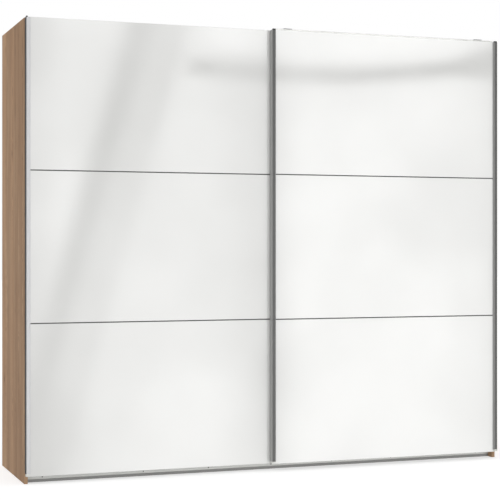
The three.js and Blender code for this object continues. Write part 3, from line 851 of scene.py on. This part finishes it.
# ---- doors ----
HANDLE_FLANGE = 1.5 * MM
HANDLE_WEB = 2 * MM
HANDLE_WALL = 1.6 * MM
HANDLE_STEP = 4.5 * MM
DEEP_GRIP = 6 * MM  # a profile that stands out further than this is a hollow grip
NOSE = 4 * MM  # radius of a deep grip's outer corner
LOW_NOSE = (9 * MM, 2.7 * MM)  # the shallow grip's: along the face, and back from it
CAP_UP = 6 * MM
CAP_DOWN = 9 * MM
CAP_SKIN = 0.3 * MM  # how far the caps lie within the profile's outline
PLATE = 2 * MM
THICK_PLATE = 2.5 * MM
FLAT_HEAD = 0.6 * MM  # screw heads that the rear door passes close behind
PLATE_CORNER = 4 * MM
HANGER_SCREW_X = 12 * MM  # from a hanger's middle
REAR_SCREW_INSET = 6 * MM  # from the rear door hanger's upper and lower edges
SCREW_SLOT = (5 * MM, 9 * MM)
FRONT_SCREW_SHARES = (0.09, 0.38, 0.67)  # of the front door hanger's height
LEAF_TO_WHEEL = 9 * MM  # from the front door hanger's rear leaf to its wheel
LEAF_OVER_ROOF = 8 * MM
LEAF_SCREWS = (11 * MM, 46 * MM)  # from its middle, and up from its lower edge
GUIDE_SCREWS_DOWN = (10 * MM, 24 * MM)  # from a guide arm's upper edge
SHOE_CLEAR = 3 * MM  # between the front door's guide arm and its slider
DOORS = {"left_door": False, "right_door": True}  # name: runs in front of the other


def low_nose(front, steps=8):
    """The flat elliptical nose of a profile that hardly stands out from its glass."""
    angles = [math.pi / 2 * k / steps for k in range(steps + 1)]
    return [(LOW_NOSE[0] * (1 - math.sin(angle)), front + LOW_NOSE[1] * (1 - math.cos(angle)))
            for angle in angles]


def make_handle(door, side, inward):
    """The edge profile: a channel round board and glass, with a rounded grip in front."""
    node = f"{door}_handle_{side}"
    low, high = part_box(node)
    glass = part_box(f"{door}_glass_middle")
    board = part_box(f"{door}_board")
    edge = low.x if inward > 0 else high.x
    wide = high.x - low.x
    front, face, back = low.y, glass[0].y - GAP, high.y
    proud = face - front
    deep = proud > DEEP_GRIP
    lip, wall = wide - HANDLE_STEP, HANDLE_WALL

    def at(u, y, *radius):
        return (edge + inward * u, y, *radius)

    toe = min(wall, proud * 0.5)
    corners = [at(0, back, 0.5 * MM), at(wide, back, 0.5 * MM), at(wide, back - HANDLE_FLANGE, 0.4 * MM),
               at(HANDLE_WEB, board[1].y + GAP, 0.2 * MM), at(HANDLE_WEB, face), at(wide, face, 0.3 * MM),
               at(wide, face - toe, 0.5 * MM), at(lip, front + 1.4 * MM, 0.8 * MM),
               at(lip - 1.2 * MM, front, 0.9 * MM)]
    corners += [at(0, front, NOSE)] if deep else [at(*nose) for nose in low_nose(front)]
    loops = [outline(*corners, steps=6)]
    if deep:
        loops.append(outline(
            at(wall + 0.6 * MM, face - wall, 0.5 * MM), at(lip - wall, face - wall, 0.5 * MM),
            at(lip - wall - 1 * MM, front + wall, 0.5 * MM), at(wall, front + wall, 2.4 * MM), steps=5))
    stand_for(node, prism(loops, "Z", low.z, high.z), GREY_ALUMINIUM_PAINTED_LIGHT if deep else EDGE_ALUMINIUM_PAINTED_SHADE[side])
    skin = CAP_SKIN
    top_reach = (3.2 * MM, lip) if deep else (skin, 9 * MM)
    ends = (("top", high.z, high.z + CAP_UP, top_reach, CAP_BLACK, "dark_plastic"),
            ("bottom", low.z, low.z - CAP_DOWN, (skin, lip), NYLON, "nylon"))
    for end, seat, tip, (a, b), material, slot in ends:
        bm = prism([outline(
            at(a, face - skin, 0.4 * MM), at(b, face - skin, 0.4 * MM),
            at(b, front + skin, 0.8 * MM), at(a, front + skin, 0.8 * MM))], "Z", *sorted((seat, tip)))
        rim = [edge for edge in bm.edges if all(abs(vert.co.z - tip) < 1e-6 for vert in edge.verts)]
        soften(bm, rim, 0.8 * MM, 3)
        piece(f"{node}_{end}_cap", bm, material, node)


def make_leaf(door):
    """Board, three panes with polished edges, and the strips between the panes."""
    node = f"{door}_board"
    stand_for(node, block(*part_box(node), 0.5 * MM), PALE_FOIL)
    for place in ("lower", "middle", "upper"):
        node = f"{door}_glass_{place}"
        stand_for(node, block(*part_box(node), 0.7 * MM), WHITE_GLASS)
    for place in ("lower", "upper"):
        node = f"{door}_divider_{place}"
        low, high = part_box(node)
        middle, dip, soft = (low.z + high.z) / 2, 1 * MM, 0.35 * MM
        bm = prism([outline(
            (high.y, low.z), (high.y, high.z), (low.y, high.z, soft), (low.y, middle + dip, soft),
            (low.y + dip, middle + dip / 2, soft / 2), (low.y + dip, middle - dip / 2, soft / 2),
            (low.y, middle - dip, soft), (low.y, low.z, soft))], "X", low.x, high.x)
        stand_for(node, bm, GREY_STRIP)


def round_tips(bm, test, radius):
    """Rounds a sheet's corners: the edges through its thickness whose middle passes the test."""
    tips = []
    for edge in bm.edges:
        one, other = (vert.co for vert in edge.verts)
        if abs((one - other).normalized().y) > 0.99 and test((one + other) / 2):
            tips.append(edge)
    soften(bm, tips, radius, 5)


def mirrored(profile):
    """A lathe profile with its other half, turned over."""
    return profile + [(radius, -along) for radius, along in reversed(profile)]


def make_wheel_and_axle(door, side, plate_y, tip_y):
    """The grooved wheel on its ball bearing, and the stub axle through it."""
    node = f"{door}_wheel_{side}"
    low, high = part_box(node)
    centre = (low + high) / 2
    half, flange = (high.y - low.y) / 2, (high.x - low.x) / 2
    run, groove, hub, bore = flange - 3 * MM, 2.5 * MM, 8.5 * MM, 3.4 * MM
    soft = 0.7 * MM
    bm = bmesh.new()
    lathe(bm, mirrored([
        (hub, -half + 1.2 * MM), (hub + 1.5 * MM, -half + 0.2 * MM), (hub + 2.1 * MM, -half),
        (flange - soft, -half), (flange - 0.2 * soft, -half + 0.2 * soft), (flange, -half + soft),
        (flange, -groove - 0.9 * MM), (flange - 0.3 * MM, -groove - 0.5 * MM),
        (run + 0.2 * MM, -groove + 0.1 * MM), (run, -groove + 0.4 * MM)]), centre, Y, 72)
    stand_for(node, bm, NYLON, "tyre")
    bm = bmesh.new()
    ring = half - 1.6 * MM
    lathe(bm, mirrored([
        (bore, -ring), (bore + 1.2 * MM, -ring), (bore + 1.5 * MM, -ring + 0.4 * MM),
        (hub - 1.4 * MM, -ring + 0.4 * MM), (hub - 1.1 * MM, -ring), (hub, -ring)]), centre, Y)
    piece(f"{node}_bearing", bm, ZINC, node)
    hanger = f"{door}_hanger_{side}"
    bm = bmesh.new()
    axle, boss, head = 3 * MM, 5 * MM, 1.6 * MM
    a, b, tip = plate_y - centre.y, low.y - GAP - centre.y, tip_y - centre.y
    lathe(bm, [(0, a), (boss + 2.5 * MM, a), (boss + 2.5 * MM, a + 1.6 * MM), (boss + 2 * MM, a + 2 * MM),
               (boss, a + 2 * MM), (boss, b - 0.3 * MM), (boss - 0.3 * MM, b), (axle, b), (axle, tip - head),
               (boss - 0.3 * MM, tip - head), (boss, tip - head + 0.3 * MM),
               (boss - 0.5 * MM, tip - 0.3 * MM), (boss - 1 * MM, tip), (0, tip)], centre, Y, 40)
    piece(f"{hanger}_axle", bm, ZINC, hanger)


def make_rear_hanger(side):
    """A flat plate on the back of the rear door's board."""
    node = f"left_door_hanger_{side}"
    low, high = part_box(node)
    back = low.y + THICK_PLATE
    middle = (low.x + high.x) / 2
    corners = ((low.x, low.z), (high.x, low.z), (high.x, high.z), (low.x, high.z))
    places = [(middle + x, z) for x in (-HANGER_SCREW_X, HANGER_SCREW_X)
              for z in (low.z + REAR_SCREW_INSET, high.z - REAR_SCREW_INSET)]
    loops = [outline(*[(*corner, PLATE_CORNER) for corner in corners], steps=6)]
    loops += [oval(place, *SCREW_SLOT, 8) for place in places]
    stand_for(node, prism(loops, "Y", low.y, back), ZINC)
    screws(f"{node}_screws", [(x, back, z) for x, z in places], Y, 4 * MM, 1.8 * MM, node)
    make_wheel_and_axle("left_door", side, back, high.y)


def make_front_hanger(side):
    """A sheet bent up, over the rear door and down between the tracks."""
    node = f"right_door_hanger_{side}"
    low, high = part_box(node)
    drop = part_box(f"right_door_wheel_{side}")[0].y - LEAF_TO_WHEEL
    foot = ROOF[1].z + LEAF_OVER_ROOF
    middle = (low.x + high.x) / 2
    half = PLATE / 2
    path = [(low.y + half, low.z), (low.y + half, high.z - half), (drop - half, high.z - half),
            (drop - half, foot)]
    bm = prism([bent_strip(path, PLATE, 2.6 * MM)], "X", low.x, high.x)
    round_tips(bm, lambda at: at.z < foot + 0.5 * MM, 5 * MM)
    stand_for(node, bm, ZINC)
    bm = bmesh.new()
    aside, up = LEAF_SCREWS
    for sign in (-1, 1):
        for share in FRONT_SCREW_SHARES:
            z = low.z + (high.z - low.z) * share
            screw(bm, Vector((middle + sign * HANGER_SCREW_X, low.y + PLATE, z)), Y, 4 * MM, FLAT_HEAD)
        screw(bm, Vector((middle + sign * aside, drop, foot + up)), Y, 4 * MM, 2.2 * MM)
    piece(f"{node}_screws", bm, ZINC, node)
    make_wheel_and_axle("right_door", side, drop, high.y)


def make_guide(door, side, in_front):
    """The bent arm under a door and the nylon shoe that straddles its rib."""
    node, slider = f"{door}_guide_{side}", f"{door}_slider_{side}"
    low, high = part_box(node)
    a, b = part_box(slider)
    shoe_y = (a.y + b.y) / 2
    half = PLATE / 2
    arm, near = b.z + GAP + half, low.y + half
    path = [(near, high.z), (near, arm), (high.y, arm)]
    if in_front:
        riser = a.y - SHOE_CLEAR - half
        path[1:2] = [(near, low.z + half), (riser, low.z + half), (riser, arm)]
    middle = (low.x + high.x) / 2
    bm = prism([bent_strip(path, PLATE, 1.8 * MM, 5)], "X", low.x, high.x)
    round_tips(bm, lambda at: at.z > high.z - 0.5 * MM, 4 * MM)
    stand_for(node, bm, ZINC)
    bm = bmesh.new()
    head = FLAT_HEAD if in_front else 1.2 * MM
    for down in GUIDE_SCREWS_DOWN:
        screw(bm, Vector((middle, low.y + PLATE, high.z - down)), Y, 3.6 * MM, head)
    screw(bm, Vector((middle, shoe_y, arm + half)), Z, 3 * MM, 1.2 * MM)
    piece(f"{node}_screws", bm, ZINC, node)
    rib, roof, soft = 1.6 * MM, b.z - 2.4 * MM, 0.6 * MM
    bm = prism([outline(
        (a.y, a.z, soft), (shoe_y - rib, a.z, soft), (shoe_y - rib, roof, soft), (shoe_y + rib, roof, soft),
        (shoe_y + rib, a.z, soft), (b.y, a.z, soft), (b.y, b.z, soft), (a.y, b.z, soft))], "X", a.x, b.x)
    stand_for(slider, bm, NYLON)


def make_top_trim():
    node = "right_door_top_trim"
    low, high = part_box(node)
    wall, soft = 1.6 * MM, EDGE_SOFT
    bm = prism([outline(
        (low.y, low.z, soft), (high.y, low.z, soft), (high.y, low.z + wall, soft),
        (low.y + wall, low.z + wall, soft), (low.y + wall, high.z, soft), (low.y, high.z, soft))],
        "X", low.x, high.x)
    stand_for(node, bm, SILVER_ALUMINIUM)


def make_doors():
    for door, in_front in DOORS.items():
        make_leaf(door)
        for side, inward in SIDES.items():
            make_handle(door, side, inward)
            make_guide(door, side, in_front)
            if in_front:
                make_front_hanger(side)
            else:
                make_rear_hanger(side)
    make_top_trim()


def make_carcass():
    make_boards()
    make_cams()
    make_shelf_pins()
    make_back_nails()
    for side, inward in SIDES.items():
        make_back_joiner(side)
        make_clothes_rail(side)
        make_track_stop(side, inward)
    make_running_rail()
    make_guide_rail()


# ---- studio ----
KEY_Y = -9.0  # the plane of both softboxes
KEY_X = (-0.8, 7.6)
KEY_Z = (-7.5, 4.8)
KEY_FADE_Z = -1.7  # the cloth dims from this level down to its lower edge
KEY_RADIANCE = 5.2
FILL_X = (-11.0, -1.2)
FILL_RADIANCE = 4.0
SOFT_EDGE = 0.9
# The key softbox's brightness over X: a step's start and end, and what it adds before and after.
KEY_STEPS = ((0.40, 0.95, 0.26, 0.60), (2.5, 3.05, 0.0, -0.16), (3.1, 3.7, 0.0, 0.40))
KEY_DIMMED = ((5.3, 6.3, 1.0, 0.76), (5.95, 6.2, 1.0, 0.80))  # factors towards its right edge
# What each soft patch adds, and what bounds it: an axis, where it is nothing, where it is full.
KEY_PATCHES = ((0.14, ("x", 1.1, 0.6), ("z", 0.2, 1.8), ("z", 3.2, 2.6)),
               (-0.20, ("x", 1.3, 0.9), ("z", -0.2, -0.9)),
               (0.14, ("z", 0.3, -0.5), ("x", 1.5, 2.1), ("x", 3.3, 3.0)))
CREASES = ((5.45, 1.55, 0.95, 0.16), (3.45, -0.3, 0.55, 0.15))  # x, z, reach, depth
FOLD_AT = (0.845, 0.285)  # the fold's X at floor level, and its slant
FOLD_LEFT = (-0.48, -0.17, 0.88, 0.0)  # brightness over the distance from the fold
FOLD_RIGHT = ((-0.17, 0.10, 0.0, 0.42), (0.29, 0.52, 0.0, 0.46))  # its two steps on the other side
FOLD_LIFT = (2.4, 0.8, 0.07, 0.17)  # the least brightness in the fold, from high up to low down
SEAM_AT = (3.5, 3.115, 0.036)  # the seam's lowest point, and how fast it rises beside it
SEAM_HALF = 0.18  # from the seam's middle to full brightness
SEAM_WIDER = (5.5, 6.2, 0.0, 0.10)  # what is added to each half towards the right
SEAM_END = (0.75, 0.35)  # the seam fades out over this distance from the fold
ABOVE_SEAM = (0.0, 0.35, 1.0, 1.18)  # the cloth's factor from the seam upwards
TOP_LIGHT = ((0.05, 0.25), (2.0, 2.6, 0.0, 0.72))  # least brightness above the seam: over Z, over X
MOTTLE = (0.87, 1.07)  # the cloth's faint clouding, as a factor
FLOOR_REACH = 40.0
FLOOR_GLOW = 0.60
AMBIENT = 0.335


def emission_material(name, strength_of):
    material = bpy.data.materials.new(name)
    material.use_nodes = True
    nodes = Nodes(material.node_tree)
    light = nodes.add("ShaderNodeEmission", Strength=strength_of(nodes))
    nodes.feed(nodes.add("ShaderNodeOutputMaterial").inputs[0], light)
    return material


def plane(name, corners, material):
    mesh = bpy.data.meshes.new(name)
    mesh.from_pydata(corners, [], [(0, 1, 2, 3)])
    mesh.materials.append(material)
    obj = bpy.data.objects.new(name, mesh)
    SCENE.collection.objects.link(obj)
    return obj


def make_floor():
    material, nodes, shader = new_material("studio_floor")
    tone = nodes.ramp(nodes.noise(nodes.place(), 5.0, 3.0), (0.3, 0.56), (0.7, 0.58))
    nodes.set(shader, Base_Color=tone, Roughness=0.9, Specular_IOR_Level=0.1,
              Emission_Color=(1, 1, 1, 1), Emission_Strength=FLOOR_GLOW)
    corners = [(x * FLOOR_REACH, y * FLOOR_REACH, 0) for x, y in ((-1, -1), (1, -1), (1, 1), (-1, 1))]
    plane("floor", corners, material).visible_glossy = False


def cloth_level(nodes, x, z):
    """The key cloth's own brightness: steps over X, soft patches and creases."""
    axes = {"x": x, "z": z}
    level = nodes.plus(*[nodes.span(x, *step) for step in KEY_STEPS])
    for amount, *bounds in KEY_PATCHES:
        masks = [nodes.span(axes[axis], none, full) for axis, none, full in bounds]
        level = nodes.plus(level, nodes.times(*masks, amount))
    for at_x, at_z, reach, depth in CREASES:
        off_x, off_z = nodes.minus(x, at_x), nodes.minus(z, at_z)
        away = nodes.plus(nodes.times(off_x, off_x), nodes.times(off_z, off_z))
        level = nodes.plus(level, nodes.span(away, 0.0, reach * reach, -depth, 0.0))
    return nodes.times(level, *[nodes.span(x, *dimmed) for dimmed in KEY_DIMMED])


def key_strength(nodes):
    """Bright cloth: a slanting fold to the left, a level seam near the top, whiter to the right."""
    place = nodes.place()
    x, _, z = nodes.split(place)
    edges = nodes.times(
        nodes.span(x, KEY_X[0], KEY_X[0] + SOFT_EDGE), nodes.span(x, KEY_X[1], KEY_X[1] - SOFT_EDGE),
        nodes.span(z, KEY_Z[0], KEY_FADE_Z), nodes.span(z, KEY_Z[1], KEY_Z[1] - SOFT_EDGE))

    from_fold = nodes.minus(x, nodes.math("MULTIPLY_ADD", z, FOLD_AT[1], FOLD_AT[0]))
    right_of_fold = nodes.plus(*[nodes.span(from_fold, *step) for step in FOLD_RIGHT])
    fold = nodes.math("MAXIMUM", nodes.span(from_fold, *FOLD_LEFT), right_of_fold)
    fold = nodes.math("MINIMUM", nodes.plus(fold, nodes.span(z, *FOLD_LIFT)), 1.0)

    off = nodes.minus(x, SEAM_AT[0])
    seam_z = nodes.math("MULTIPLY_ADD", nodes.times(off, off), SEAM_AT[2], SEAM_AT[1])
    above_seam = nodes.minus(z, seam_z)
    from_seam = nodes.minus(nodes.math("ABSOLUTE", above_seam), nodes.span(x, *SEAM_WIDER))
    seam = nodes.math("MAXIMUM", nodes.span(from_seam, 0.0, SEAM_HALF), nodes.span(from_fold, *SEAM_END))

    top_light = nodes.times(nodes.span(above_seam, *TOP_LIGHT[0]), nodes.span(x, *TOP_LIGHT[1]))
    level = nodes.math("MAXIMUM", cloth_level(nodes, x, z), top_light)
    mottle = nodes.span(nodes.noise(place, 1.7, 4.0), 0.3, 0.7, *MOTTLE)
    return nodes.times(edges, level, fold, seam, nodes.span(above_seam, *ABOVE_SEAM), mottle, KEY_RADIANCE)


def fill_strength(nodes):
    """A dimmer panel to the left, soft towards all its edges."""
    x, _, z = nodes.split(nodes.place())
    (x0, x1), (z0, z1) = FILL_X, KEY_Z
    middle = (x0 + x1) / 2
    return nodes.times(nodes.span(x, x0, middle), nodes.span(x, x1, middle),
                       nodes.span(z, z0, KEY_FADE_Z), nodes.span(z, z1, z1 - 2 * SOFT_EDGE), FILL_RADIANCE)


def make_softbox(name, x_range, strength_of):
    """A card that is seen only in reflections."""
    (x0, x1), (z0, z1) = x_range, KEY_Z
    card = plane(name, [(x0, KEY_Y, z0), (x1, KEY_Y, z0), (x1, KEY_Y, z1), (x0, KEY_Y, z1)],
                 emission_material(name, strength_of))
    card.visible_camera = False
    card.visible_diffuse = False
    card.visible_shadow = False


def make_sun(name, direction, irradiance, spread):
    data = bpy.data.lights.new(name, "SUN")
    data.energy = irradiance
    data.angle = math.radians(spread)
    light = bpy.data.objects.new(name, data)
    light.rotation_euler = Vector(direction).to_track_quat("-Z", "Y").to_euler()
    light.visible_glossy = False
    SCENE.collection.objects.link(light)


def make_world():
    world = bpy.data.worlds.new("studio")
    SCENE.world = world
    world.use_nodes = True
    nodes = Nodes(world.node_tree)
    seen = nodes.add("ShaderNodeLightPath").outputs["Is Camera Ray"]
    back = nodes.add("ShaderNodeBackground", Color=nodes.mix(seen, (AMBIENT,) * 3, (1.0, 1.0, 1.0)))
    nodes.feed(nodes.add("ShaderNodeOutputWorld").inputs[0], back)


def make_studio():
    SCENE.view_settings.view_transform = "Standard"
    SCENE.view_settings.look = "None"
    make_world()
    make_floor()
    make_softbox("key_softbox", KEY_X, key_strength)
    make_softbox("fill_softbox", FILL_X, fill_strength)
    make_sun("overhead", (0.05, 0.16, -1.0), 1.6, 110.0)


make_camera()
make_studio()
dress_cad_nodes()
make_carcass()
make_doors()
